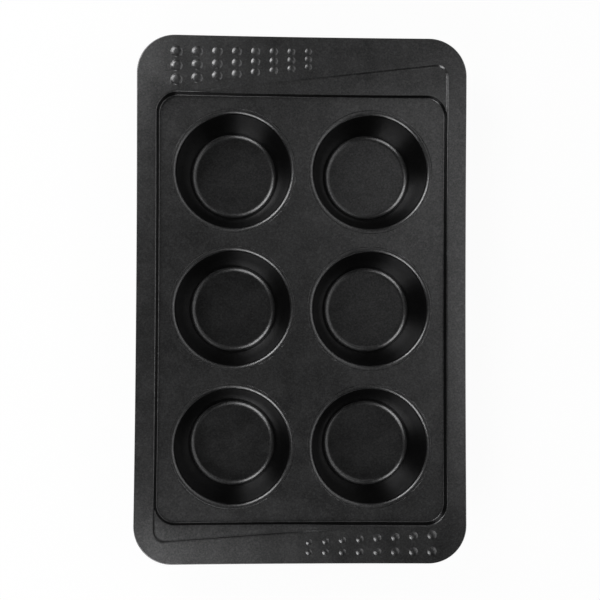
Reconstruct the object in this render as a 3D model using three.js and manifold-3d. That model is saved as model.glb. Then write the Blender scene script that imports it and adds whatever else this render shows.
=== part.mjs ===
// A six-cup muffin pan: a pressed steel tray with a rolled rim closed over a wire, and six drawn
// cups whose flanges lie flush in stepped seats around the tray's openings.
// Millimetres, +Z up. The origin is on the table under the middle of the pan,
// X runs across the pan and Y along it, with the wide grip at the back (+Y).

import * as THREE from "three";
import { mergeVertices } from "three/addons/utils/BufferGeometryUtils.js";
import Module from "manifold-3d";

// Sheet, wire and clearance
const traySheet = 0.6;
const cupSheet = 0.6;
const wireDiameter = 1;
const seatGap = 0.3; // left round the edge of a cup in its seat
const wireGap = 0.1; // left round the wire in the rolled edge

// Cups
const cupPitch = 81.3; // centre to centre, both ways
const cupDepth = 27; // panel to the inside of the floor
const mouthDiameter = 71.9; // where the flange turns down into the cup
const floorDiameter = 44.9; // the flat of the floor
const mouthBend = 2.5; // radius from flange to wall
const floorBend = 4; // radius from wall to floor
const flangeWidth = 0.7; // flat ring outside the mouth
const collarDepth = 3.4; // how far the tray turns down along each cup

// Sunken panel round the cups
const panelSideMargin = 8.2; // cup flange to the middle of the panel's wall, at the sides
const panelEndMargin = 8.75; // the same at the ends
const panelCornerRadius = 12;
const panelBow = 0.4; // how far pressing draws each edge in at its middle
const panelStep = { depth: 4.2, convexBend: 1, concaveBend: 0.7, wallAngle: 75 };

// Rim and grips
const sideRim = 12.2; // panel wall to the outer edge, at the sides
const backGrip = 34.5; // the same at the back
const frontGrip = 23.1; // the same at the front
const rimCornerRadius = 22.3;
const sideBow = 0.9;
const endBow = 0.3;
const rimTuck = 15; // degrees that the rolled edge turns past level on its inner side

// Wedge recesses beside the panel: a slanted edge leaves the panel's end and rises to the far side
const wedgeStep = { depth: 1.3, convexBend: 0.8, concaveBend: 0.8, wallAngle: 50 };
const wedgeCornerRadius = 6;
const backWedge = { rise: 19.5, leadIn: 12, turn: 0 };
const frontWedge = { rise: 10.4, leadIn: 26, turn: Math.PI };

// Grip bumps: each field starts large near a corner and shrinks along the row
const bumpColumns = 8;
const bumpSlope = 0.19; // height for each unit of radius
const bumpCrown = 1.9; // a higher power flattens the crown and steepens the side
const backBumps = {
  rows: 3,
  edgeInsets: [10.2, 9.1],
  sideInset: 23.3,
  diameters: [7.4, 4.4],
  rowPitches: [8.35, 4.65],
  columnPitches: [12.3, 9.9],
  turn: 0,
};
const frontBumps = {
  rows: 2,
  edgeInsets: [7.3, 7.2],
  sideInset: 20.5,
  diameters: [6, 3.8],
  rowPitches: [9.65, 5.9],
  columnPitches: [11.05, 9.65],
  turn: Math.PI,
};

// Fineness of the facets
const roundSides = 28; // round a cup
const cornerSides = 5; // round a corner of an outline
const edgeSides = 4; // along an edge of an outline
const bendSides = 2; // round a bend of the sheet
const rollSides = 7; // round the rolled edge
const bumpSides = 8;
const bumpRings = [1, 0.65, 0]; // shares of the radius, from foot to crown
const wireSides = 8;
const overlap = 0.5; // how far solids run into each other before they are joined or cut
const weld = 1e-4; // corners closer than this are one

// Sizes that follow
const flangeRadius = mouthDiameter / 2 + flangeWidth;
const seatRadius = flangeRadius + seatGap;
const panelHeight = cupSheet + cupDepth;
const rimHeight = panelHeight + panelStep.depth;
const panelHalfX = cupPitch / 2 + flangeRadius + panelSideMargin;
const panelHalfY = cupPitch + flangeRadius + panelEndMargin;
const panHalfX = panelHalfX + sideRim;
const panHalfY = panelHalfY + (backGrip + frontGrip) / 2;
const panelMiddleY = (frontGrip - backGrip) / 2;
const rollInner = wireDiameter / 2 + wireGap;
const rollOuter = rollInner + traySheet;
const panelEdge = {
  halfX: panelHalfX,
  halfY: panelHalfY,
  middleY: panelMiddleY,
  radius: panelCornerRadius,
  bowX: panelBow,
  bowY: panelBow,
};
const rimEdge = {
  halfX: panHalfX,
  halfY: panHalfY,
  middleY: 0,
  radius: rimCornerRadius,
  bowX: sideBow,
  bowY: endBow,
};

const wasm = await Module();
wasm.setup();

// A closed geometry as a solid that can be joined and cut
function solidFrom(geometry) {
  const bare = geometry.clone();
  bare.deleteAttribute("normal");
  bare.deleteAttribute("uv");
  const merged = mergeVertices(bare, weld);
  const corners = merged.index.array;
  const kept = [];
  for (let i = 0; i < corners.length; i += 3) {
    const [a, b, c] = corners.slice(i, i + 3);
    if (a !== b && b !== c && c !== a) kept.push(a, b, c);
  }
  const vertProperties = merged.attributes.position.array;
  return new wasm.Manifold(new wasm.Mesh({ numProp: 3, vertProperties, triVerts: new Uint32Array(kept) }));
}

// A solid back as a geometry
function geometryFrom(solid) {
  const { vertProperties, triVerts } = solid.getMesh();
  const geometry = new THREE.BufferGeometry();
  geometry.setAttribute("position", new THREE.BufferAttribute(vertProperties, 3));
  geometry.setIndex(new THREE.BufferAttribute(triVerts, 1));
  geometry.computeVertexNormals();
  return geometry;
}

// A revolved profile of [radius, height] points, turned to stand on Z
function revolve(profile, sides) {
  const points = profile.map(([radius, height]) => new THREE.Vector2(radius, height));
  return new THREE.LatheGeometry(points, sides).rotateX(Math.PI / 2);
}

// A surface through rings of [x, y] points at given heights. An open stack gets flat ends,
// a closed one runs from its last ring back to its first.
function loft(rings, closed) {
  const count = rings[0].points.length;
  const positions = rings.flatMap(({ points, height }) => points.flatMap(([x, y]) => [x, y, height]));
  const triangles = [];
  const bands = closed ? rings.length : rings.length - 1;
  for (let band = 0; band < bands; band++) {
    const low = band * count;
    const high = ((band + 1) % rings.length) * count;
    for (let i = 0; i < count; i++) {
      const next = (i + 1) % count;
      triangles.push(low + i, low + next, high + next, low + i, high + next, high + i);
    }
  }
  if (!closed) {
    const last = (rings.length - 1) * count;
    for (const [a, b, c] of capTriangles(rings[0].points)) triangles.push(a, c, b);
    for (const [a, b, c] of capTriangles(rings.at(-1).points)) triangles.push(last + a, last + b, last + c);
  }
  const geometry = new THREE.BufferGeometry();
  geometry.setAttribute("position", new THREE.Float32BufferAttribute(positions, 3));
  geometry.setIndex(triangles);
  geometry.computeVertexNormals();
  return geometry;
}

function capTriangles(points) {
  const contour = points.map(([x, y]) => new THREE.Vector2(x, y));
  return THREE.ShapeUtils.triangulateShape(contour, []);
}

// A rounded rectangle whose edges bow inwards, grown outwards by a margin, anticlockwise
function outline(edge, grow) {
  const halfX = edge.halfX + grow;
  const halfY = edge.halfY + grow;
  const radius = edge.radius + grow;
  const points = [];
  for (let side = 0; side < 4; side++) {
    const facesX = side % 2 === 0;
    const reach = facesX ? halfX : halfY;
    const run = (facesX ? halfY : halfX) - radius;
    const bow = facesX ? edge.bowX : edge.bowY;
    const facing = (side * Math.PI) / 2;
    for (let i = 0; i < cornerSides; i++) {
      const turn = ((i / cornerSides - 1) * Math.PI) / 2;
      const out = reach - radius + radius * Math.cos(turn);
      const along = -run + radius * Math.sin(turn);
      points.push(turned(out, along, facing));
    }
    for (let i = 0; i < edgeSides; i++) {
      const share = (2 * i) / edgeSides - 1;
      points.push(turned(reach - bow * (1 - share * share), share * run, facing));
    }
  }
  return points.map(([x, y]) => [x, y + edge.middleY]);
}

function turned(x, y, angle) {
  const cos = Math.cos(angle);
  const sin = Math.sin(angle);
  return [x * cos - y * sin, x * sin + y * cos];
}

// Width in plan of a pressed step, from the start of one bend to the end of the other
function stepWidth({ depth, convexBend, concaveBend, wallAngle }) {
  const angle = THREE.MathUtils.degToRad(wallAngle);
  const bends = convexBend + concaveBend;
  return bends * Math.sin(angle) + (depth - bends * (1 - Math.cos(angle))) / Math.tan(angle);
}

// Section of a pressed step on a surface that lies below the sheet's upper face,
// from the sunken side up: [outwards of the step's middle, above the upper face]
function stepSection(step, below) {
  const angle = THREE.MathUtils.degToRad(step.wallAngle);
  const half = stepWidth(step) / 2;
  const lower = step.concaveBend + below;
  const upper = Math.max(step.convexBend - below, 0);
  const section = [];
  for (let i = 0; i <= bendSides; i++) {
    const turn = (angle * i) / bendSides;
    section.push([lower * Math.sin(turn) - half, step.concaveBend - step.depth - lower * Math.cos(turn)]);
  }
  for (let i = bendSides; i >= 0; i--) {
    const turn = (angle * i) / bendSides;
    section.push([half - upper * Math.sin(turn), upper * Math.cos(turn) - step.convexBend]);
  }
  return section;
}

// The space that a pressed step opens above the sheet, for an outline that can grow
function recess(outlineAt, step, below) {
  const section = stepSection(step, below);
  const rings = section.map(([grow, height]) => ({ points: outlineAt(grow), height: rimHeight + height }));
  rings.push({ points: rings.at(-1).points, height: rimHeight + step.depth });
  return solidFrom(loft(rings, false));
}

// A wedge beside the panel's end: along the panel's side, round a corner, and back along the slant
function wedgeOutline(wedge, grow) {
  const side = panelHalfX + (stepWidth(panelStep) - stepWidth(wedgeStep)) / 2;
  const start = wedge.leadIn - panelHalfX;
  const slant = Math.atan2(wedge.rise, side - start);
  const radius = wedgeCornerRadius + grow;
  const low = panelHalfY - panelCornerRadius - grow;
  const slantAt = (x) => panelHalfY + (x - start) * Math.tan(slant) + grow / Math.cos(slant);
  const centreX = side + grow - radius;
  const centreY = slantAt(centreX) - radius / Math.cos(slant);
  const points = [[start - grow, low], [side + grow, low]];
  for (let i = 0; i <= cornerSides; i++) {
    const turn = ((Math.PI / 2 + slant) * i) / cornerSides;
    points.push([centreX + radius * Math.cos(turn), centreY + radius * Math.sin(turn)]);
  }
  points.push([start - grow, slantAt(start - grow)]);
  return points.map(([x, y]) => {
    const [turnedX, turnedY] = turned(x, y, wedge.turn);
    return [turnedX, turnedY + panelMiddleY];
  });
}

// Places and radii of the bumps in one field
function bumpPlaces(field) {
  const places = [];
  let along = 0;
  for (let column = 0; column < bumpColumns; column++) {
    const share = column / (bumpColumns - 1);
    const radius = THREE.MathUtils.lerp(...field.diameters, share) / 2;
    const rowPitch = THREE.MathUtils.lerp(...field.rowPitches, share);
    const edgeInset = THREE.MathUtils.lerp(...field.edgeInsets, share);
    for (let row = 0; row < field.rows; row++) {
      const x = field.sideInset + along - panHalfX;
      const y = panHalfY - edgeInset - row * rowPitch;
      places.push({ place: turned(x, y, field.turn), radius });
    }
    along += THREE.MathUtils.lerp(...field.columnPitches, (column + 0.5) / (bumpColumns - 1));
  }
  return places;
}

// A dome with a flattened crown and a swept foot
function bump(radius, below) {
  const profile = [[0, -overlap], [radius, -overlap]];
  for (const share of bumpRings) {
    const height = bumpSlope * radius * Math.cos((Math.PI / 2) * share ** bumpCrown) ** 2;
    profile.push([share * radius, height]);
  }
  return solidFrom(revolve(profile, bumpSides)).translate([0, 0, rimHeight - below]);
}

// The wall's slope comes from the mouth bend and the floor bend that it runs between
const bendRise = cupDepth - mouthBend - floorBend;
const bendRun = (mouthDiameter - floorDiameter) / 2;
const cupWallAngle =
  Math.atan2(bendRise, bendRun) + Math.asin((mouthBend + floorBend) / Math.hypot(bendRise, bendRun));

// Section of a cup on a surface that lies below its upper face, from the axis out to the flange
function cupSection(below) {
  const lower = floorBend + below;
  const upper = Math.max(mouthBend - below, 0);
  const section = [[0, cupSheet - below]];
  for (let i = 0; i <= bendSides; i++) {
    const turn = (cupWallAngle * i) / bendSides;
    const radius = floorDiameter / 2 + lower * Math.sin(turn);
    section.push([radius, cupSheet + floorBend - lower * Math.cos(turn)]);
  }
  for (let i = bendSides; i >= 0; i--) {
    const turn = (cupWallAngle * i) / bendSides;
    const radius = mouthDiameter / 2 - upper * Math.sin(turn);
    section.push([radius, panelHeight - mouthBend + upper * Math.cos(turn)]);
  }
  section.push([flangeRadius, panelHeight - below]);
  return section;
}

// A drawn cup: its outer face from the axis out, and its inner face back to the axis
function cupGeometry() {
  return revolve([...cupSection(cupSheet), ...cupSection(0).reverse()], roundSides);
}

// The space of a seat above a surface that lies below the tray's upper face: the collar round
// the cup's wall, the ledge under its flange, and the step up to the panel
function seatSpace(below) {
  const bend = Math.max(mouthBend - cupSheet - seatGap, 0);
  const upper = Math.max(bend - below, 0);
  const bendRadius = mouthDiameter / 2 + seatGap / Math.tan(cupWallAngle);
  const ledge = panelHeight - cupSheet;
  const collarEnd = ledge - collarDepth - (below === 0 ? overlap : 0); // the opening runs clear through
  const wallRadius = bendRadius - upper * Math.sin(cupWallAngle);
  const wallHeight = ledge - bend + upper * Math.cos(cupWallAngle);
  const endRadius = wallRadius - (wallHeight - collarEnd) / Math.tan(cupWallAngle);
  const profile = [[0, collarEnd], [endRadius, collarEnd]];
  for (let i = bendSides; i >= 0; i--) {
    const turn = (cupWallAngle * i) / bendSides;
    profile.push([bendRadius - upper * Math.sin(turn), ledge - bend + upper * Math.cos(turn)]);
  }
  profile.push([seatRadius + below, ledge - below]);
  profile.push([seatRadius + below, rimHeight], [0, rimHeight]);
  return solidFrom(revolve(profile, roundSides));
}

const cupPlaces = [
  ["back_left", -1, 1],
  ["back_right", 1, 1],
  ["middle_left", -1, 0],
  ["middle_right", 1, 0],
  ["front_left", -1, -1],
  ["front_right", 1, -1],
].map(([name, column, row]) => ({
  name: "cup_" + name,
  x: (column * cupPitch) / 2,
  y: row * cupPitch + panelMiddleY,
}));

// All that lies under a surface that follows the tray's upper face at a distance below it
function underTray(below) {
  const base = panelHeight - cupSheet - collarDepth - traySheet - below;
  const grow = below === 0 ? -rollOuter - overlap : overlap;
  const points = outline(rimEdge, grow);
  const rings = [base, rimHeight - below].map((height) => ({ points, height }));
  let under = solidFrom(loft(rings, false));
  under = under.subtract(recess((margin) => outline(panelEdge, margin), panelStep, below));
  for (const wedge of [backWedge, frontWedge]) {
    under = under.subtract(recess((margin) => wedgeOutline(wedge, margin), wedgeStep, below));
  }
  for (const field of [backBumps, frontBumps]) {
    for (const { place, radius } of bumpPlaces(field)) {
      under = under.add(bump(radius, below).translate([...place, 0]));
    }
  }
  const seat = seatSpace(below);
  for (const { x, y } of cupPlaces) under = under.subtract(seat.translate([x, y, 0]));
  return under;
}

// The rolled edge: a strip of the flat rim that turns down, round the wire, and in under itself
function rolledEdge() {
  const turnEnd = -Math.PI - THREE.MathUtils.degToRad(rimTuck);
  const section = [];
  const arc = (radius, share) => {
    const turn = THREE.MathUtils.lerp(turnEnd, Math.PI / 2, share);
    section.push([radius * Math.cos(turn) - rollOuter, radius * Math.sin(turn) - rollOuter]);
  };
  for (let i = 0; i <= rollSides; i++) arc(rollOuter, i / rollSides);
  section.push([-rollOuter - 2 * overlap, 0], [-rollOuter - 2 * overlap, -traySheet]);
  for (let i = rollSides; i >= 0; i--) arc(rollInner, i / rollSides);
  return loftRound(section);
}

// The wire inside the rolled edge
function wireGeometry() {
  const section = [];
  for (let i = 0; i < wireSides; i++) {
    const turn = (2 * Math.PI * i) / wireSides;
    const radius = wireDiameter / 2;
    section.push([radius * Math.cos(turn) - rollOuter, radius * Math.sin(turn) - rollOuter]);
  }
  return loftRound(section);
}

// A closed section of [outwards of the rim's outer edge, above the rim] carried round the rim
function loftRound(section) {
  const rings = section.map(([grow, height]) => ({
    points: outline(rimEdge, grow),
    height: rimHeight + height,
  }));
  return loft(rings, true);
}

function trayGeometry() {
  const sheet = underTray(0).subtract(underTray(traySheet));
  return geometryFrom(sheet.add(solidFrom(rolledEdge())));
}

const coating = new THREE.MeshStandardMaterial({ color: 0x2b2b2d, roughness: 0.45, metalness: 0.35 });
const wireSteel = new THREE.MeshStandardMaterial({ color: 0x9a9a98, roughness: 0.35, metalness: 1 });

function piece(name, geometry, material) {
  const mesh = new THREE.Mesh(geometry, material);
  mesh.name = name;
  return mesh;
}

const pan = new THREE.Group();
pan.add(piece("tray", trayGeometry(), coating));
pan.add(piece("rim_wire", wireGeometry(), wireSteel));
for (const { name, x, y } of cupPlaces) {
  const cup = piece(name, cupGeometry(), coating);
  cup.position.set(x, y, 0);
  pan.add(cup);
}

export default pan;
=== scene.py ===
import math
import bmesh
import bpy
import numpy as np
from mathutils import Euler, Matrix, Vector
from mathutils.geometry import delaunay_2d_cdt


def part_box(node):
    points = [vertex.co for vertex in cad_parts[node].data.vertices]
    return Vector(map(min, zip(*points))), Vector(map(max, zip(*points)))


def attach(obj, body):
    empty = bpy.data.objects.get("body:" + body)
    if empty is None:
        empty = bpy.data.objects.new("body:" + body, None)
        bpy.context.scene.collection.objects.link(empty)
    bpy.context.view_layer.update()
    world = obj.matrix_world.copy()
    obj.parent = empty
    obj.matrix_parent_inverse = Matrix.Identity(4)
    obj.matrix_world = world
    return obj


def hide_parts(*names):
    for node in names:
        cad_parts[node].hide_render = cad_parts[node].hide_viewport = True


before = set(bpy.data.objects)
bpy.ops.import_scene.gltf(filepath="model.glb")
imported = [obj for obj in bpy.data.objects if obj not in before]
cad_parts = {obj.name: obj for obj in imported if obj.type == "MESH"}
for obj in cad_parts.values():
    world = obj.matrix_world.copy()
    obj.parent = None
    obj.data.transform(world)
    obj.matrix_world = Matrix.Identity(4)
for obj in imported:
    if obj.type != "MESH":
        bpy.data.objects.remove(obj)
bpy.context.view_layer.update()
print("frame loaded:", len(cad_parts), "nodes")

mm = 0.001  # sizes below are written in millimetres and kept in metres, angles are in degrees
tiny = 1e-9  # keeps a division from being by zero

# where the frame puts things: cup middles, the panel's level, the rim's outline
cupNames = sorted(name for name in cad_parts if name.startswith("cup_"))
cupBoxes = {name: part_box(name) for name in cupNames}
cupMiddles = np.array([[(low.x + high.x) / 2, (low.y + high.y) / 2] for low, high in cupBoxes.values()])
panelMiddle = cupMiddles.mean(axis=0)
panelZ = cupBoxes[cupNames[0]][1].z
trayLow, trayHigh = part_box("tray")
sheet = 0.6 * mm  # thickness of the tray and of the cups

# how finely the meshes are laid out, welded and shaded
mesh = {
    "cornerSteps": 20,
    "edgeSteps": 14,
    "wedgeCornerSteps": 10,
    "slantSteps": 42,
    "roundSteps": 120,
    "bendSteps": 6,
    "cupBendSteps": 12,
    "flangeSteps": 4,
    "rollSteps": (17, 22),  # over the top, then round the wire
    "lipSteps": 7,
    "wireSteps": 16,
    "guard": 0.2 * mm,  # from a bend to the first row on the flat beside it
    "edgeBand": 0.02 * mm,  # nearer than this a point counts as on the edge row
    "slopeReach": 0.01 * mm,  # step over which slopes are taken
    "weld": 0.002 * mm,
    "sliver": 0.001 * mm,
    "foldAngle": 38,
}


# quads of a grid whose points are stored row after row; each row closes on itself, and so may the last row
# on the first
def gridFaces(rows, columns, closeRows=False):
    row = np.arange(rows if closeRows else rows - 1)[:, None]
    column = np.arange(columns)[None, :]
    nextRow = (row + 1) % rows
    nextColumn = (column + 1) % columns
    corners = [row * columns + column, row * columns + nextColumn,
               nextRow * columns + nextColumn, nextRow * columns + column]
    return np.stack(corners, axis=-1).reshape(-1, 4)


# one mesh from patches of points and faces: what lies on the same spot is welded, faces without area are
# dissolved, and the shading is smooth up to sharp folds
def meshPiece(name, patches):
    points = np.vstack([patch[0] for patch in patches])
    starts = np.cumsum([0] + [len(patch[0]) for patch in patches[:-1]])
    faces = [face for patch, start in zip(patches, starts) for face in (patch[1] + start).tolist()]
    data = bpy.data.meshes.new(name)
    data.from_pydata(points.tolist(), [], faces)
    soft = bmesh.new()
    soft.from_mesh(data)
    bmesh.ops.remove_doubles(soft, verts=soft.verts, dist=mesh["weld"])
    bmesh.ops.dissolve_degenerate(soft, edges=soft.edges, dist=mesh["sliver"])
    soft.to_mesh(data)
    soft.free()
    data.polygons.foreach_set("use_smooth", np.ones(len(data.polygons), dtype=bool))
    data.set_sharp_from_angle(angle=math.radians(mesh["foldAngle"]))
    piece = bpy.data.objects.new(name, data)
    bpy.context.scene.collection.objects.link(piece)
    return piece


# points of a unit circle at the given angles: cosine, sine
def unitArc(turn):
    return np.column_stack([np.cos(turn), np.sin(turn)])


# points evenly round a circle
def circle(middle, radius, steps):
    return radius * unitArc(2 * np.pi * np.arange(steps) / steps) + middle


# angles of the rows round a bend, in even steps from flat to the wall's angle
def bendTurn(angle, steps):
    return angle * np.arange(steps + 1) / steps


# the value at a share of the way from the first of a pair to the second
def between(pair, share):
    return pair[0] + (pair[1] - pair[0]) * share


# a smooth rise from 0 to 1: three times the square of the share, less twice its cube
def smoothRise(value, low, high):
    share = np.clip((value - low) / (high - low), 0, 1)
    return share * share * (3 - 2 * share)


# rounded rectangle, each side bowed in by a parabola, grown outwards by a margin; points run anticlockwise
def roundedOutline(edge, grow):
    halfX, halfY, radius = edge["halfX"] + grow, edge["halfY"] + grow, edge["radius"] + grow
    turn = (np.arange(mesh["cornerSteps"]) / mesh["cornerSteps"] - 1) * np.pi / 2
    share = 2 * np.arange(mesh["edgeSteps"]) / mesh["edgeSteps"] - 1
    sides = []
    for side in range(4):
        reach, run = (halfX, halfY - radius) if side % 2 == 0 else (halfY, halfX - radius)
        bow = edge["bow"][side % 2]
        out = np.concatenate([reach - radius + radius * np.cos(turn), reach - bow * (1 - share ** 2)])
        along = np.concatenate([radius * np.sin(turn) - run, share * run])
        facing = side * np.pi / 2
        sides.append(np.column_stack([out * np.cos(facing) - along * np.sin(facing),
                                      out * np.sin(facing) + along * np.cos(facing)]))
    return np.vstack(sides) + edge["middle"]


# signed distance to the same outline, positive outside: how far a point lies past the corner middles, with
# the sides' bows added, less the corner radius
def outlineDistance(edge, x, y):
    x, y = np.abs(x - edge["middle"][0]), np.abs(y - edge["middle"][1])
    runX, runY = edge["halfX"] - edge["radius"], edge["halfY"] - edge["radius"]
    bowX = edge["bow"][0] * (1 - np.minimum(y / runY, 1) ** 2)
    bowY = edge["bow"][1] * (1 - np.minimum(x / runX, 1) ** 2)
    overX, overY = x - runX + bowX, y - runY + bowY
    outside = np.hypot(np.maximum(overX, 0), np.maximum(overY, 0))
    return outside + np.minimum(np.maximum(overX, overY), 0) - edge["radius"]


# half the width in plan of a pressed step: two bends and the straight wall between them
def stepHalf(step):
    angle = math.radians(step["wallAngle"])
    bends = step["convexBend"] + step["concaveBend"]
    return (bends * math.sin(angle) + (step["depth"] - bends * (1 - math.cos(angle))) / math.tan(angle)) / 2


# height of a pressed step over the distance outside its middle line: arc, straight wall, arc
def stepHeight(step, distance):
    angle, half = math.radians(step["wallAngle"]), stepHalf(step)
    upper, lower = step["convexBend"], step["concaveBend"]
    inUpper = np.clip(half - distance, 0, upper * math.sin(angle))
    inLower = np.clip(distance + half, 0, lower * math.sin(angle))
    arcs = np.sqrt(upper ** 2 - inUpper ** 2) - upper
    wall = (np.clip(half - distance, upper * math.sin(angle), 2 * half - lower * math.sin(angle))
            - upper * math.sin(angle)) * math.tan(angle)
    rest = lower * (1 - math.cos(angle)) - (lower - np.sqrt(lower ** 2 - inLower ** 2))
    return arcs - wall - rest


# distances outside a step's middle line where its section needs a row of points, with one more on each flat
def stepRows(step):
    angle, half = math.radians(step["wallAngle"]), stepHalf(step)
    turn = bendTurn(angle, mesh["bendSteps"])
    upper = half - step["convexBend"] * np.sin(turn)
    lower = step["concaveBend"] * np.sin(turn) - half
    return np.concatenate([[half + mesh["guard"]], upper, lower[::-1], [-half - mesh["guard"]]])


# the pressed tray: sunken panel, wedge recesses beside it, rolled rim, and seats for the cups
tray = {
    "panelStep": {"depth": 4.2 * mm, "convexBend": 1.0 * mm, "concaveBend": 0.7 * mm, "wallAngle": 75},
    "seatStep": {"depth": sheet, "convexBend": 0.2 * mm, "concaveBend": 0.05 * mm, "wallAngle": 84},
    "sideRim": 12.2 * mm,
    "backGrip": 34.5 * mm,
    "frontGrip": 23.1 * mm,
    "rimCornerRadius": 22.3 * mm,
    "rimBow": (0.6 * mm, 0.3 * mm),
    "panelCornerRadius": 12 * mm,
    "panelBow": (0.4 * mm, 0.4 * mm),
    "wedgeCornerRadius": 6 * mm,
    "wedges": [
        {"rise": 19.05 * mm, "leadIn": 16.5 * mm, "fade": (4 * mm, 24 * mm), "turn": 1,
         "step": {"depth": 1.0 * mm, "convexBend": 0.6 * mm, "concaveBend": 0.6 * mm, "wallAngle": 43}},
        {"rise": 10.1 * mm, "leadIn": 26 * mm, "fade": (30 * mm, 70 * mm), "turn": -1,
         "step": {"depth": 1.3 * mm, "convexBend": 0.8 * mm, "concaveBend": 0.8 * mm, "wallAngle": 50}},
    ],
    "wedgeFade": 12 * mm,
    "wedgeSoften": 0.4 * mm,
    "wireRadius": 0.5 * mm,
    "seatGap": 0.03 * mm,
    "wireGap": 0.1 * mm,
    "collarDepth": 3.4 * mm,
    "rimTuck": 15,  # how far past half a turn the roll closes
    "rollPower": 4,  # 2 is a round upper corner, more is squarer
    "rimDroop": 3.0,
    "droopStart": 3 * mm,
    "openingShare": 0.995,  # share of an opening's radius that is cleared of triangles
}
# the grip bumps: pairs of values run from the first column of a field to its last
bumps = {
    "columns": 8,
    "foot": 0.15,  # share of the height below which the foot is rounded off
    "around": 24,
    "shares": np.array([0.2, 0.38, 0.54, 0.68, 0.8, 0.87, 0.92, 0.96, 1.0, 1.04, 1.08, 1.12]),
    "fields": [
        {"rows": 3, "turn": 1, "sideInset": 23.3 * mm, "edgeInsets": (10.2 * mm, 9.1 * mm),
         "rowPitches": (8.35 * mm, 4.65 * mm), "columnPitches": (12.3 * mm, 9.9 * mm),
         "diameters": (7.0 * mm, 4.2 * mm), "slopes": (0.18, 0.185), "crowns": (4.0, 2.0)},
        {"rows": 2, "turn": -1, "sideInset": 20.5 * mm, "edgeInsets": (7.3 * mm, 7.2 * mm),
         "rowPitches": (9.65 * mm, 5.9 * mm), "columnPitches": (11.05 * mm, 9.65 * mm),
         "diameters": (5.4 * mm, 3.7 * mm), "slopes": (0.22, 0.23), "crowns": (2.2, 2.0)},
    ],
}
# the cups: floor, bends and flange in section
cups = {
    "mouthRadius": 35.95 * mm,
    "floorRadius": 22.45 * mm,
    "mouthBend": 2.5 * mm,
    "floorBend": 4 * mm,
    "flangeRadius": 36.6 * mm,
    "edgeRound": 0.03 * mm,
}

rimZ = panelZ + tray["panelStep"]["depth"]
panHalfX, panHalfY = (trayHigh.x - trayLow.x) / 2, (trayHigh.y - trayLow.y) / 2
panMiddle = np.array([(trayHigh.x + trayLow.x) / 2, (trayHigh.y + trayLow.y) / 2])
rimEdge = {"halfX": panHalfX, "halfY": panHalfY, "radius": tray["rimCornerRadius"], "bow": tray["rimBow"],
           "middle": panMiddle}
panelEdge = {"halfX": panHalfX - tray["sideRim"],
             "halfY": panHalfY - (tray["backGrip"] + tray["frontGrip"]) / 2,
             "radius": tray["panelCornerRadius"], "bow": tray["panelBow"], "middle": panelMiddle}
rollInner = tray["wireRadius"] + tray["wireGap"]
rollOuter = rollInner + sheet
rollMiddle = np.array([-rollOuter, rimZ - rollOuter])  # distance outside the rim's outline, height
cupDepth = panelZ - sheet
bendRise = cupDepth - cups["mouthBend"] - cups["floorBend"]
bendRun = cups["mouthRadius"] - cups["floorRadius"]
# the wall is the line that touches both the mouth bend and the floor bend
cupWallAngle = math.atan2(bendRise, bendRun) + math.asin(
    (cups["mouthBend"] + cups["floorBend"]) / math.hypot(bendRise, bendRun))
seatMiddle = cups["flangeRadius"] + tray["seatGap"] + stepHalf(tray["seatStep"])
holeRadius = seatMiddle + stepHalf(tray["seatStep"])  # where the flat panel ends at a seat
print("sizes: rim", round(rimZ / mm, 2), "mm, cup wall", round(math.degrees(cupWallAngle), 1), "degrees")


# a wedge's side line, slant and corner arc, in a frame turned so that the wedge rises to +X and +Y
def wedgeLines(wedge):
    side = panelEdge["halfX"] + stepHalf(tray["panelStep"]) - stepHalf(wedge["step"])
    start = wedge["leadIn"] - panelEdge["halfX"]
    slant = math.atan2(wedge["rise"], side - start)
    radius = tray["wedgeCornerRadius"]
    centreX = side - radius
    centreY = panelEdge["halfY"] + (centreX - start) * math.tan(slant) - radius / math.cos(slant)
    return side, start, slant, radius, centreX, centreY


# signed distance outside a wedge: the farther of its two lines, or the corner arc between their normals
def wedgeDistance(wedge, x, y):
    side, start, slant, radius, centreX, centreY = wedgeLines(wedge)
    normal = (-math.sin(slant), math.cos(slant))
    toSide = x - side
    toSlant = (x - start) * normal[0] + (y - panelEdge["halfY"]) * normal[1]
    inX, inY = x - centreX, y - centreY
    inCorner = (inY > 0) & (inX * normal[1] - inY * normal[0] > 0)
    return np.where(inCorner, np.hypot(inX, inY) - radius, np.maximum(toSide, toSlant))


# depth of a wedge below the rim, faded out where its lines run into the panel's wall
def wedgeDepth(wedge, x, y):
    localX, localY = (x - panelMiddle[0]) * wedge["turn"], (y - panelMiddle[1]) * wedge["turn"]
    start = wedge["leadIn"] - panelEdge["halfX"]
    low = panelEdge["halfY"] - panelEdge["radius"]
    fade = smoothRise(localX - start, *wedge["fade"]) * smoothRise(localY, low - tray["wedgeFade"], low)
    return -stepHeight(wedge["step"], wedgeDistance(wedge, localX, localY)) * fade


# middles, radii, heights and crowns of a field's bumps: pitch, size and form change evenly along the field,
# and each pitch is taken half way between two columns
def bumpPlaces(field):
    share = np.linspace(0, 1, bumps["columns"])
    pitchShare = (np.arange(bumps["columns"] - 1) + 0.5) / (bumps["columns"] - 1)
    along = np.concatenate([[0], np.cumsum(between(field["columnPitches"], pitchShare))])
    x = field["sideInset"] + along - panHalfX
    row = np.arange(field["rows"])[:, None]
    y = panHalfY - between(field["edgeInsets"], share) - row * between(field["rowPitches"], share)
    radius = between(field["diameters"], share) / 2
    rise = radius * between(field["slopes"], share)
    crown = between(field["crowns"], share)
    values = [x * field["turn"] + panMiddle[0], y * field["turn"] + panMiddle[1], radius, rise, crown]
    return np.column_stack([np.broadcast_to(value, y.shape).ravel() for value in values])


allBumps = np.vstack([bumpPlaces(field) for field in bumps["fields"]])


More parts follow.
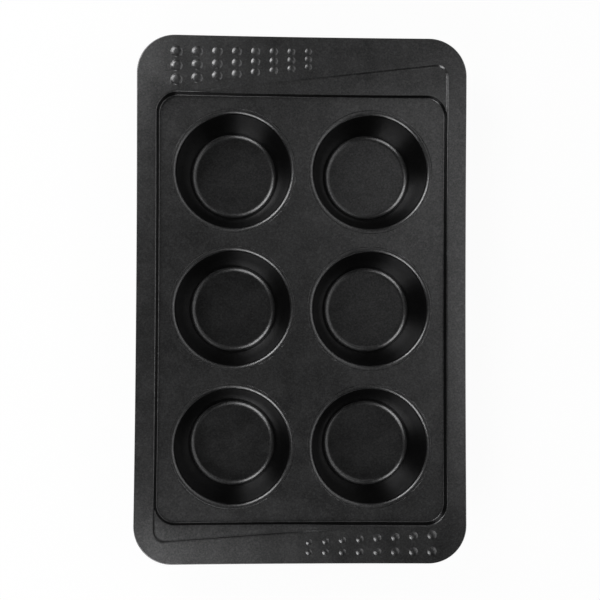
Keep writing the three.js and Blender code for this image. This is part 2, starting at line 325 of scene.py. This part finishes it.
# height of the bumps: a cap that falls with a power of the distance, its crown, rounded off at the foot by a
# parabola
def bumpHeight(x, y):
    height = np.zeros_like(x)
    foot = bumps["foot"]
    for middleX, middleY, radius, rise, crown in allBumps:
        cap = 1 - (np.hypot(x - middleX, y - middleY) / radius) ** crown
        rounded = np.clip(cap + foot, 0, 2 * foot) ** 2 / (4 * foot)
        height += rise * np.where(cap > foot, cap, rounded)
    return height


# drop of the rim below its level at the panel: a slope that sets in evenly outside the panel's wall
def rimDrop(x, y):
    beyond = np.maximum(outlineDistance(panelEdge, x, y) - stepHalf(tray["panelStep"]), 0)
    onset = np.minimum(beyond, tray["droopStart"])
    slope = math.tan(math.radians(tray["rimDroop"]))
    return slope * (beyond - onset + onset ** 2 / (2 * tray["droopStart"]))


# height of the tray's upper face over the rim: the deeper of panel and wedges, softened by a parabola where
# they meet, plus the bumps, less the rim's drop
def trayHeight(x, y):
    depth = -stepHeight(tray["panelStep"], outlineDistance(panelEdge, x, y))
    for wedge in tray["wedges"]:
        other = wedgeDepth(wedge, x, y)
        soften = tray["wedgeSoften"] * other / wedge["step"]["depth"] + tiny
        blend = np.maximum(soften - np.abs(depth - other), 0) / soften
        depth = np.maximum(depth, other) + blend ** 2 * soften / 4
    return bumpHeight(x, y) - depth - rimDrop(x, y)


# upward unit normals of the upper face, from its slope over a small step
def trayNormals(x, y):
    reach = mesh["slopeReach"]
    slopeX = (trayHeight(x + reach, y) - trayHeight(x - reach, y)) / (2 * reach)
    slopeY = (trayHeight(x, y + reach) - trayHeight(x, y - reach)) / (2 * reach)
    normal = np.column_stack([-slopeX, -slopeY, np.ones_like(x)])
    return normal / np.linalg.norm(normal, axis=1, keepdims=True)


# lines of a wedge at one distance from its middle line: up the side, round the corner, back down the slant
def wedgeRow(wedge, distance):
    side, start, slant, radius, centreX, centreY = wedgeLines(wedge)
    turn = np.linspace(0, np.pi / 2 + slant, mesh["wedgeCornerSteps"])
    arc = (radius + distance) * unitArc(turn) + [centreX, centreY]
    low = panelEdge["halfY"] - panelEdge["radius"]
    upSide = np.column_stack([np.full(mesh["edgeSteps"], side + distance),
                              np.linspace(low, centreY, mesh["edgeSteps"], endpoint=False)])
    back = np.linspace(0, 1, mesh["slantSteps"])[1:, None]
    end = np.array([[start, panelEdge["halfY"] + distance / math.cos(slant)]])
    return np.vstack([upSide, arc, arc[-1:] + (end - arc[-1:]) * back]) * wedge["turn"] + panelMiddle


# all rows of points that the upper face needs, with the edges along them, filled with triangles between;
# triangles in the openings are left out, apart from thin ones along the edge
def trayFlats():
    guard = mesh["guard"]
    rows = [roundedOutline(rimEdge, grow) for grow in (-rollOuter, -rollOuter - guard)]
    rows += [roundedOutline(panelEdge, distance) for distance in stepRows(tray["panelStep"])]
    for middle in cupMiddles:
        rows += [circle(middle, radius, mesh["roundSteps"]) for radius in (holeRadius, holeRadius + guard)]
    for middleX, middleY, radius in allBumps[:, :3]:
        rows += [circle((middleX, middleY), radius * share, bumps["around"]) for share in bumps["shares"]]
    closed = [True] * len(rows)
    wall = stepHalf(tray["panelStep"]) + guard
    for wedge in tray["wedges"]:
        for distance in stepRows(wedge["step"]):
            row = wedgeRow(wedge, distance)
            rows.append(row[outlineDistance(panelEdge, row[:, 0], row[:, 1]) > wall])
            closed.append(False)
    counts = np.array([len(row) for row in rows])
    starts = np.concatenate([[0], np.cumsum(counts)[:-1]])
    edges = []
    for start, count, loop in zip(starts, counts, closed):
        index = np.arange(count)
        pairs = np.column_stack([index, (index + 1) % count]) + start
        edges.append(pairs if loop else pairs[:-1])
    spots = [Vector(spot) for spot in (np.vstack(rows + [allBumps[:, :2]]) / mm).tolist()]
    insideOutline, mergeWithin = 1, 1e-4  # kind of fill, and distance in millimetres that counts as one spot
    made = delaunay_2d_cdt(spots, np.vstack(edges).tolist(), [], insideOutline, mergeWithin)
    points = np.array(made[0], dtype=float)[:, :2] * mm
    faces = np.array(made[2], dtype=int)
    centre = points[faces].mean(axis=1)
    inHole = np.zeros(len(faces), dtype=bool)
    for middle in cupMiddles:
        inHole |= np.hypot(*(centre - middle).T) < holeRadius * tray["openingShare"]
    return points, faces[~inHole]


# section of a step on a surface lying below the sheet's face, high side first: distance out, height
def stepSection(step, below):
    angle, half = math.radians(step["wallAngle"]), stepHalf(step)
    turn = bendTurn(angle, mesh["bendSteps"])
    upper, lower = max(step["convexBend"] - below, 0), step["concaveBend"] + below
    convex = np.column_stack([half - upper * np.sin(turn), upper * np.cos(turn) - step["convexBend"]])
    concave = np.column_stack([lower * np.sin(turn) - half,
                               step["concaveBend"] - step["depth"] - lower * np.cos(turn)])
    return np.vstack([convex, concave[::-1]])


# a seat in section, radius and height: the step down from the panel, the ledge, and the collar along the
# cup's wall
def seatSection(below):
    step = stepSection(tray["seatStep"], below) + [seatMiddle, panelZ]
    bend = cups["mouthBend"] - sheet - tray["seatGap"]
    upper = max(bend - below, 0)
    ledge = panelZ - sheet
    bendRadius = cups["mouthRadius"] + tray["seatGap"] / math.tan(cupWallAngle)
    turn = bendTurn(cupWallAngle, mesh["bendSteps"])
    collar = np.column_stack([bendRadius - upper * np.sin(turn), ledge - bend + upper * np.cos(turn)])
    end = ledge - tray["collarDepth"]
    endRadius = collar[-1, 0] - (collar[-1, 1] - end) / math.tan(cupWallAngle)
    section = np.vstack([step, collar, [[endRadius, end]]])
    section[0] = [holeRadius, panelZ - below]
    return section


# a profile of radius and height turned round an upright axis: rows follow the profile, columns go round
def turnProfile(profile, middle, steps):
    ring = circle((0, 0), 1, steps)
    points = np.empty((len(profile), steps, 3))
    points[:, :, :2] = profile[:, None, :1] * ring[None] + middle
    points[:, :, 2] = profile[:, None, 1]
    return points.reshape(-1, 3)


# a profile of distance outside the rim and height, carried round the rim's outline and lowered by its drop
def carryRound(profile):
    loops = np.stack([roundedOutline(rimEdge, grow) for grow in profile[:, 0]])
    edge = roundedOutline(rimEdge, -rollOuter)
    heights = profile[:, None, 1] - rimDrop(edge[:, 0], edge[:, 1])[None]
    return np.concatenate([loops, heights[:, :, None]], axis=2).reshape(-1, 3), loops.shape[1]


# the rolled rim in section: over the top with a squarer outer corner, where the powers of both coordinates
# add up to that of the radius, round the wire, a rounded lip, and back along the inside
def rolledSection():
    topSteps, wireSteps = mesh["rollSteps"]
    last = -math.pi - math.radians(tray["rimTuck"])
    turn = np.concatenate([np.linspace(math.pi / 2, 0, topSteps), np.linspace(0, last, wireSteps)[1:]])
    ring = unitArc(turn)
    power = tray["rollPower"]
    reach = np.where(turn > 0, (np.abs(ring) ** power).sum(axis=1) ** (-1 / power), 1)
    outer = rollOuter * (reach[:, None] * ring)
    lipTurn = last - np.linspace(0, math.pi, mesh["lipSteps"])[1:-1]
    lip = (rollInner + rollOuter) / 2 * ring[-1] + sheet / 2 * unitArc(lipTurn)
    inner = rollInner * ring[::-1]
    return np.vstack([outer, lip, inner]) + rollMiddle


# the tray is its two faces, the rolled rim between their outer edges, and a seat in each opening
def makeTray():
    flat, faces = trayFlats()
    x, y = flat.T
    upper = np.column_stack([flat, trayHeight(x, y) + rimZ])
    normals = trayNormals(x, y)
    onEdge = np.abs(outlineDistance(rimEdge, x, y) + rollOuter) < mesh["edgeBand"]
    normals[onEdge] = (0, 0, 1)  # the edge row drops straight down
    lower = upper - sheet * normals
    patches = [(upper, faces), (lower, faces[:, ::-1])]
    rim, around = carryRound(rolledSection())
    patches.append((rim, gridFaces(len(rim) // around, around)[:, ::-1]))
    seat = np.vstack([seatSection(0), seatSection(sheet)[::-1]])
    steps = mesh["roundSteps"]
    for middle in cupMiddles:
        patches.append((turnProfile(seat, middle, steps), gridFaces(len(seat), steps)))
    piece = meshPiece("tray_sheet", patches)
    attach(piece, "root")
    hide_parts("tray")
    return piece


# a cup in section on a surface below its upper face, from the axis out to the flange: floor, floor bend,
# straight wall, mouth bend
def cupSection(below):
    turn = bendTurn(cupWallAngle, mesh["cupBendSteps"])
    lower, upper = cups["floorBend"] + below, cups["mouthBend"] - below
    floor = np.column_stack([cups["floorRadius"] + lower * np.sin(turn),
                             sheet + cups["floorBend"] - lower * np.cos(turn)])
    mouth = np.column_stack([cups["mouthRadius"] - upper * np.sin(turn),
                             panelZ - cups["mouthBend"] + upper * np.cos(turn)])
    flat = np.array([[0, sheet - below], [cups["floorRadius"] - mesh["guard"], sheet - below]])
    flange = np.array([[cups["mouthRadius"] + mesh["guard"], panelZ - below]])
    return np.vstack([flat, floor, mouth[::-1], flange])


# a cup closes from its outer face, the rounded flange edge and its inner face
def makeCup(name, middle):
    outer, inner = cupSection(sheet), cupSection(0)
    edge = cups["edgeRound"]
    turn = np.linspace(-math.pi / 2, 0, mesh["flangeSteps"])
    corner = edge * unitArc(turn) + [cups["flangeRadius"] - edge, panelZ - sheet + edge]
    rim = np.vstack([corner, corner[::-1] * [1, -1] + [0, 2 * panelZ - sheet]])
    profile = np.vstack([outer, rim, inner[::-1]])
    steps = mesh["roundSteps"]
    patch = (turnProfile(profile, middle, steps), gridFaces(len(profile), steps))
    piece = meshPiece("drawn_" + name, [patch])
    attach(piece, "root")
    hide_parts(name)
    return piece


# the wire is a circle carried round the rim
def makeWire():
    section = circle(rollMiddle, tray["wireRadius"], mesh["wireSteps"])
    points, around = carryRound(section)
    piece = meshPiece("wire_round_rim", [(points, gridFaces(len(section), around, closeRows=True))])
    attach(piece, "root")
    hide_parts("rim_wire")
    return piece


trayPiece = makeTray()
print("tray:", len(trayPiece.data.polygons), "faces")
cupPieces = [makeCup(name, middle) for name, middle in zip(cupNames, cupMiddles)]
print("cups:", len(cupPieces), "of", len(cupPieces[0].data.polygons), "faces")
wirePiece = makeWire()
print("wire:", len(wirePiece.data.polygons), "faces")


# a new material, its node tree and its Principled shader
def newMaterial(name):
    material = bpy.data.materials.new(name)
    material.use_nodes = True
    return material, material.node_tree, material.node_tree.nodes["Principled BSDF"]


# a Math node's result; its inputs are plain numbers or the outputs of other nodes
def calculate(tree, operation, *values):
    node = tree.nodes.new("ShaderNodeMath")
    node.operation = operation
    for socket, value in zip(node.inputs, values):
        if isinstance(value, (int, float)):
            socket.default_value = value
        else:
            tree.links.new(value, socket)
    return node.outputs["Value"]


# a value carried from one range over to another and kept inside it, evenly or with a smooth start and end
def mapRange(tree, value, start, end, smooth=False):
    node = tree.nodes.new("ShaderNodeMapRange")
    if smooth:
        node.interpolation_type = "SMOOTHSTEP"
    for name, limit in zip(("From Min", "From Max", "To Min", "To Max"), (*start, *end)):
        node.inputs[name].default_value = limit
    tree.links.new(value, node.inputs["Value"])
    return node.outputs["Result"]


# a cloudy noise over a position
def noise(tree, position, scale, detail):
    node = tree.nodes.new("ShaderNodeTexNoise")
    node.inputs["Scale"].default_value = scale
    node.inputs["Detail"].default_value = detail
    tree.links.new(position, node.inputs["Vector"])
    return node.outputs["Fac"]


# a colour between a dark and a light one
def mixColours(tree, factor, dark, light):
    node = tree.nodes.new("ShaderNodeMix")
    node.data_type = "RGBA"
    node.inputs["A"].default_value = (*dark, 1)
    node.inputs["B"].default_value = (*light, 1)
    tree.links.new(factor, node.inputs["Factor"])
    return node.outputs["Result"]


# the upright part of a vector
def upright(tree, vector):
    node = tree.nodes.new("ShaderNodeSeparateXYZ")
    tree.links.new(vector, node.inputs["Vector"])
    return node.outputs["Z"]


# the non-stick coating; noises are pairs of scale and detail
coating = {
    "dark": (0.067, 0.067, 0.068),
    "light": (0.118, 0.118, 0.119),
    "metallic": 0.972,
    "roughness": (0.31, 0.35),
    "wallFacing": (0.4, 0.8),  # upright part of the normal on drawn walls and on flats
    "wallShare": 0.55,  # roughness of drawn walls, as a share
    "grazing": (0.70, 0.46),
    "grazingHeights": (8 * mm, 17 * mm),
    "paintedShadeShare": 0.78,  # painted shade: brightness at the bottom of the cups, as a share
    "bump": 0.12,
    "bumpDepth": 0.05 * mm,
    "stippleNoise": (1100, 2),
    "mottleNoise": (90, 4),
    "noiseRange": (0.3, 0.7),
    "fleckScale": 900,
    "fleckRange": (0.7, 1.0),
    "toneShares": (0.8, 0.6, 0.5),
    "toneShift": -0.275,  # brings the tone's middle to about one half
}


# grain of a sprayed coating at a position in metres: fine stipple, coarser mottle, and a tone that adds up
# shares of both and of metal flecks
def coatingGroup():
    group = bpy.data.node_groups.new("coatingGrain", "ShaderNodeTree")
    group.interface.new_socket("Position", in_out="INPUT", socket_type="NodeSocketVector")
    for name in ("Stipple", "Mottle", "Tone"):
        group.interface.new_socket(name, in_out="OUTPUT", socket_type="NodeSocketFloat")
    nodes, links = group.nodes, group.links
    inside, outside = nodes.new("NodeGroupInput"), nodes.new("NodeGroupOutput")
    position = inside.outputs["Position"]
    fine = noise(group, position, *coating["stippleNoise"])
    stipple = mapRange(group, fine, coating["noiseRange"], (0, 1))
    mottle = noise(group, position, *coating["mottleNoise"])
    cells = nodes.new("ShaderNodeTexVoronoi")
    cells.inputs["Scale"].default_value = coating["fleckScale"]
    links.new(position, cells.inputs["Vector"])
    colour = nodes.new("ShaderNodeSeparateColor")
    links.new(cells.outputs["Color"], colour.inputs["Color"])
    flecks = mapRange(group, colour.outputs["Red"], coating["fleckRange"], (0, 1))
    tone = coating["toneShift"]
    for value, share in zip((stipple, mottle, flecks), coating["toneShares"]):
        tone = calculate(group, "MULTIPLY_ADD", value, share, tone)
    for name, value in (("Stipple", stipple), ("Mottle", mottle), ("Tone", tone)):
        links.new(value, outside.inputs[name])
    return group


coatingGrain = coatingGroup()


# near black, with a fine metallic grain that breaks up the gloss; deep in the cups painted shade darkens the
# colour, while it is brighter at a grazing angle, and steep drawn walls are smoother
def coatingMaterial(name):
    material, tree, shader = newMaterial(name)
    nodes, links = tree.nodes, tree.links
    place = nodes.new("ShaderNodeTexCoord")
    grain = nodes.new("ShaderNodeGroup")
    grain.node_tree = coatingGrain
    links.new(place.outputs["Object"], grain.inputs["Position"])
    height = upright(tree, place.outputs["Object"])
    shade = nodes.new("ShaderNodeVectorMath")
    shade.operation = "SCALE"
    tone = mixColours(tree, grain.outputs["Tone"], coating["dark"], coating["light"])
    links.new(tone, shade.inputs["Vector"])
    # painted shade: the colour darkens from the panel's level down to the cup floors
    links.new(mapRange(tree, height, (0, panelZ), (coating["paintedShadeShare"], 1)), shade.inputs["Scale"])
    links.new(shade.outputs["Vector"], shader.inputs["Base Color"])
    rough = mapRange(tree, grain.outputs["Mottle"], coating["noiseRange"], coating["roughness"])
    facing = calculate(tree, "ABSOLUTE", upright(tree, place.outputs["Normal"]))
    drawn = mapRange(tree, facing, coating["wallFacing"], (coating["wallShare"], 1), smooth=True)
    links.new(calculate(tree, "MULTIPLY", rough, drawn), shader.inputs["Roughness"])
    bump = nodes.new("ShaderNodeBump")
    bump.inputs["Strength"].default_value = coating["bump"]
    bump.inputs["Distance"].default_value = coating["bumpDepth"]
    links.new(grain.outputs["Stipple"], bump.inputs["Height"])
    links.new(bump.outputs["Normal"], shader.inputs["Normal"])
    shader.inputs["Metallic"].default_value = coating["metallic"]
    gloss = mapRange(tree, height, coating["grazingHeights"], coating["grazing"], smooth=True)
    links.new(gloss, shader.inputs["Specular Tint"])
    return material


# the wire's bare steel, from tarnished to bright
wire = {"dark": (0.30, 0.29, 0.28), "light": (0.55, 0.55, 0.54), "metallic": 1, "noise": (600, 2)}


# one fine noise sets both the tone and the roughness of the steel
def wireMaterial():
    material, tree, shader = newMaterial("drawn_wire")
    place = tree.nodes.new("ShaderNodeTexCoord")
    grain = noise(tree, place.outputs["Object"], *wire["noise"])
    tree.links.new(mixColours(tree, grain, wire["dark"], wire["light"]), shader.inputs["Base Color"])
    tree.links.new(grain, shader.inputs["Roughness"])
    shader.inputs["Metallic"].default_value = wire["metallic"]
    return material


trayPiece.data.materials.append(coatingMaterial("tray_coating"))
cupCoating = coatingMaterial("cup_coating")
for piece in cupPieces:
    piece.data.materials.append(cupCoating)
wirePiece.data.materials.append(wireMaterial())
print("materials made")

# camera, worked out from the cup rings in the photograph: place over the cup grid, turns, lens
view = {"over": (-34.07 * mm, -13.33 * mm, 701.3 * mm), "turns": (1.5, -2.7, 0.32), "lens": 71.28,
        "sensor": 36, "clipStart": 10 * mm}
camera = bpy.data.objects.new("camera", bpy.data.cameras.new("camera"))
camera.data.lens = view["lens"]
camera.data.sensor_width = view["sensor"]
camera.data.clip_start = view["clipStart"]
turned = Euler([math.radians(angle) for angle in view["turns"]], "ZYX").to_matrix().to_4x4()
camera.matrix_world = Matrix.Translation(Vector((*panelMiddle, panelZ)) + Vector(view["over"])) @ turned
bpy.context.scene.collection.objects.link(camera)
bpy.context.scene.camera = camera
print("camera placed")

# floor and light: the floor's size and the lamps' places and sizes are in metres, their power in watts
white = (1, 1, 1, 1)
stage = {"floorSize": 6, "floorDrop": 0.05 * mm, "floorTone": 0.9, "floorRoughness": 0.9, "whiteShare": 0.95,
         "overhead": 0.034, "horizon": 0.012}
lamps = [
    {"name": "upperLeft", "azimuth": 133, "away": 0.69, "height": 0.53, "size": (0.46, 0.44), "power": 4.65},
    {"name": "lowerLeft", "azimuth": 240, "away": 0.64, "height": 0.50, "size": (0.42, 0.44), "power": 3.5},
    {"name": "right", "azimuth": 13, "away": 0.70, "height": 0.62, "size": (2.2, 0.48), "power": 4.1},
    {"name": "overRight", "azimuth": 354, "away": 0.51, "height": 1.0, "size": (0.25, 0.25), "power": 0.43},
    {"name": "overBack", "azimuth": 42, "away": 0.36, "height": 1.0, "size": (0.25, 0.25), "power": 0.22},
    {"name": "overFront", "azimuth": 257, "away": 0.51, "height": 1.0, "size": (0.25, 0.25), "power": 0.10},
    {"name": "overLeft", "azimuth": 156, "away": 0.48, "height": 1.0, "size": (0.25, 0.25), "power": 0.07},
]


# one for camera, gloss and transmission rays, which see the white backdrop, and nought for the others
def whiteRays(tree):
    path = tree.nodes.new("ShaderNodeLightPath").outputs
    direct = calculate(tree, "MAXIMUM", path["Is Camera Ray"], path["Is Glossy Ray"])
    return calculate(tree, "MAXIMUM", direct, path["Is Transmission Ray"])


# a pale square a hair under the cups, so that no faces coincide; rays that see the backdrop get mostly plain
# white there, and the rest of the mix keeps the pan's shadow
def makeFloor():
    half, low = stage["floorSize"] / 2, -stage["floorDrop"]
    corners = [(-half, -half, low), (half, -half, low), (half, half, low), (-half, half, low)]
    data = bpy.data.meshes.new("floor")
    data.from_pydata(corners, [], [(0, 1, 2, 3)])
    floor = bpy.data.objects.new("floor", data)
    bpy.context.scene.collection.objects.link(floor)
    material, tree, shader = newMaterial("pale_floor")
    nodes, links = tree.nodes, tree.links
    shader.inputs["Base Color"].default_value = (stage["floorTone"],) * 3 + (1,)
    shader.inputs["Roughness"].default_value = stage["floorRoughness"]
    glow = nodes.new("ShaderNodeEmission")
    mix = nodes.new("ShaderNodeMixShader")
    links.new(calculate(tree, "MULTIPLY", whiteRays(tree), stage["whiteShare"]), mix.inputs["Fac"])
    links.new(shader.outputs["BSDF"], mix.inputs[1])
    links.new(glow.outputs["Emission"], mix.inputs[2])
    links.new(mix.outputs["Shader"], nodes["Material Output"].inputs["Surface"])
    floor.data.materials.append(material)


# a dim light that grows from the horizon to overhead; the camera sees plain white in its place
def makeWorld():
    world = bpy.data.worlds.new("studio")
    bpy.context.scene.world = world
    world.use_nodes = True
    tree = world.node_tree
    nodes, links = tree.nodes, tree.links
    soft = nodes["Background"]
    soft.inputs["Color"].default_value = white
    place = nodes.new("ShaderNodeTexCoord")
    levels = (stage["horizon"], stage["overhead"])
    strength = mapRange(tree, upright(tree, place.outputs["Generated"]), (0, 1), levels, smooth=True)
    links.new(strength, soft.inputs["Strength"])
    backdrop = nodes.new("ShaderNodeBackground")
    backdrop.inputs["Color"].default_value = white
    path = nodes.new("ShaderNodeLightPath")
    mix = nodes.new("ShaderNodeMixShader")
    links.new(path.outputs["Is Camera Ray"], mix.inputs["Fac"])
    links.new(soft.outputs["Background"], mix.inputs[1])
    links.new(backdrop.outputs["Background"], mix.inputs[2])
    links.new(mix.outputs["Shader"], nodes["World Output"].inputs["Surface"])


# a rectangular lamp that faces the frame's origin, its first side level
def makeLamp(lamp):
    data = bpy.data.lights.new(lamp["name"], "AREA")
    data.shape = "RECTANGLE"
    data.size, data.size_y = lamp["size"]
    data.energy = lamp["power"]
    azimuth = math.radians(lamp["azimuth"])
    place = Vector((math.cos(azimuth) * lamp["away"], math.sin(azimuth) * lamp["away"], lamp["height"]))
    light = bpy.data.objects.new(lamp["name"], data)
    light.matrix_world = Matrix.Translation(place) @ place.to_track_quat("Z", "Y").to_matrix().to_4x4()
    bpy.context.scene.collection.objects.link(light)


makeFloor()
makeWorld()
for lamp in lamps:
    makeLamp(lamp)
bpy.context.scene.view_settings.view_transform = "Standard"
print("stage lit by", len(lamps), "lamps")

bpy.context.view_layer.update()
